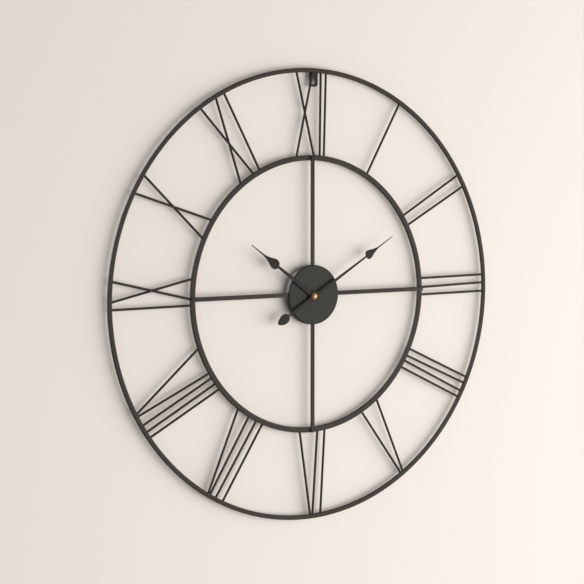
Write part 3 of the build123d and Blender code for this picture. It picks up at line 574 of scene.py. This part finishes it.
# %% The battery
low, high = (Vector(c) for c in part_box("battery"))
middle, full = (low + high) / 2, (high.z - low.z) / 2 / MM
minus, plus = low.x / MM, high.x / MM
BAND_MM, CAN_RADIUS, STEPS_ROUND = 13, 6.7, 96
can = [(2.8, minus + 0.1), (4.9, minus), (5.2, minus + 0.25), (6.5, minus + 0.3), (6.75, minus + 0.55)]
film = [(6.8, minus + 0.5), (7.1, minus + 0.6), (full, minus + 0.95), (full, plus - BAND_MM),
        (full, plus - 2.6), (7.1, plus - 2.2), (6.6, plus - 2.05)]
button = [(6.5, plus - 2.15), (3.1, plus - 2.1), (2.85, plus - 1.95), (2.75, plus - 0.25), (2.5, plus)]
cell = turned_piece("battery_cell", [(0.0, 0.0, r * MM, x * MM) for r, x in can + film + button], nickel,
                    STEPS_ROUND, closed=False)
cell.data.transform(Matrix.Translation((0, middle.y, middle.z)) @ Matrix.Rotation(math.radians(-90), 4, "Z"))
cell.data.materials.append(jacket)
cell.data.materials.append(copper_band)
for face in cell.data.polygons:
    x, away = face.center.x / MM, math.hypot(face.center.y - middle.y, face.center.z - middle.z) / MM
    if away > CAN_RADIUS and film[0][1] < x < film[-1][1]:
        face.material_index = 2 if x > plus - BAND_MM else 1
stands_for(cell, "battery")
print("battery", [round(d / MM, 2) for d in cell.dimensions])

# %% [markdown]
# The wall and the floor are only a stage. The wall is a plain pale sheet just behind the clock that shows
# its soft shadow. It is clear from behind, so that the back of the clock can be looked at. It casts no
# shadow and sends no light back, so the sides of the bars that face away from the light stay dark. The
# floor is pale too, and as far down as a floor is under a clock that hangs high.

# %% Wall and floor
def plane(name, corners, material):
    mesh = bpy.data.meshes.new(name)
    mesh.from_pydata(corners, [], [tuple(range(len(corners)))])
    mesh.materials.append(material)
    made = link(name, mesh)
    return made


def stage_paint(name, colour, one_sided):
    material = bpy.data.materials.new(name)
    material.use_nodes = True
    tree = material.node_tree
    tree.nodes.clear()
    paint = add(tree, "ShaderNodeBsdfPrincipled", {"Base Color": linear(colour), "Roughness": 0.9,
                                                   "Specular IOR Level": 0.2})
    surface = paint.outputs[0]
    if one_sided:
        clear = add(tree, "ShaderNodeBsdfTransparent")
        behind = add(tree, "ShaderNodeNewGeometry").outputs["Backfacing"]
        surface = add(tree, "ShaderNodeMixShader", {0: behind, 1: surface, 2: clear.outputs[0]}).outputs[0]
    add(tree, "ShaderNodeOutputMaterial", {"Surface": surface})
    return material


WALL_Y, WALL_TOP, WALL_HALF = 0.0008, 3.0, 5.0
FLOOR_Z, FLOOR_HALF = -2.6, 2.0
wall = plane("wall", [(-WALL_HALF, WALL_Y, FLOOR_Z), (WALL_HALF, WALL_Y, FLOOR_Z),
                      (WALL_HALF, WALL_Y, WALL_TOP), (-WALL_HALF, WALL_Y, WALL_TOP)],
             stage_paint("Pale_Wall_Paint", "#f0ebe5", True))
wall.visible_shadow = wall.visible_diffuse = wall.visible_glossy = False
plane("floor", [(x * FLOOR_HALF, y * FLOOR_HALF, FLOOR_Z) for x, y in ((-1, -1), (1, -1), (1, 1), (-1, 1))],
      stage_paint("Pale_Floor", "#e6e1da", False))
print("wall normal", tuple(round(v, 2) for v in wall.data.polygons[0].normal))

# %% [markdown]
# The light is plain and soft: one very broad panel in front and to the right, so that the wall is brighter
# on the right and the bars' faint shadows fall just to their left. A second panel behind the clock lights
# its movement. A pale surround fills the rest, and a camera that looks past the stage sees it brighter than
# it is.

# %% Lights
KEY = dict(place=(2.15, -2.6, -0.4), target=(0.15, 0.0, -0.05), size=(6.4, 2.6), power=166, colour="#fffaf8")
BACK = dict(place=(-1.2, 2.4, 0.9), target=(0.0, 0.0, 0.0), size=(3.0, 2.2), power=110, colour="#ffffff")


def panel(name, place, target, size, power, colour):
    data = bpy.data.lights.new(name, "AREA")
    data.shape, data.size, data.size_y, data.energy = "RECTANGLE", size[0], size[1], power
    data.color = linear(colour)[:3]
    made = bpy.data.objects.new(name, data)
    made.location = place
    made.rotation_euler = (Vector(target) - Vector(place)).to_track_quat("-Z", "Y").to_euler()
    bpy.context.scene.collection.objects.link(made)


panel("key_panel", **KEY)
panel("back_panel", **BACK)
print("panels of", KEY["size"], "and", BACK["size"], "m")

# %% Surround
SURROUND_LIGHT, SURROUND_SEEN = 0.3, 0.75
world = bpy.data.worlds.new("pale_surround")
world.use_nodes = True
tree = world.node_tree
tree.nodes.clear()
seen = add(tree, "ShaderNodeLightPath").outputs["Is Camera Ray"]
strength = add(tree, "ShaderNodeMapRange", {0: seen, 3: SURROUND_LIGHT, 4: SURROUND_SEEN})
surround = add(tree, "ShaderNodeBackground", {0: linear("#f6f3ef"), 1: strength.outputs[0]})
add(tree, "ShaderNodeOutputWorld", {0: surround.outputs[0]})
bpy.context.scene.world = world
print("surround", SURROUND_LIGHT, "as light,", SURROUND_SEEN, "as seen")
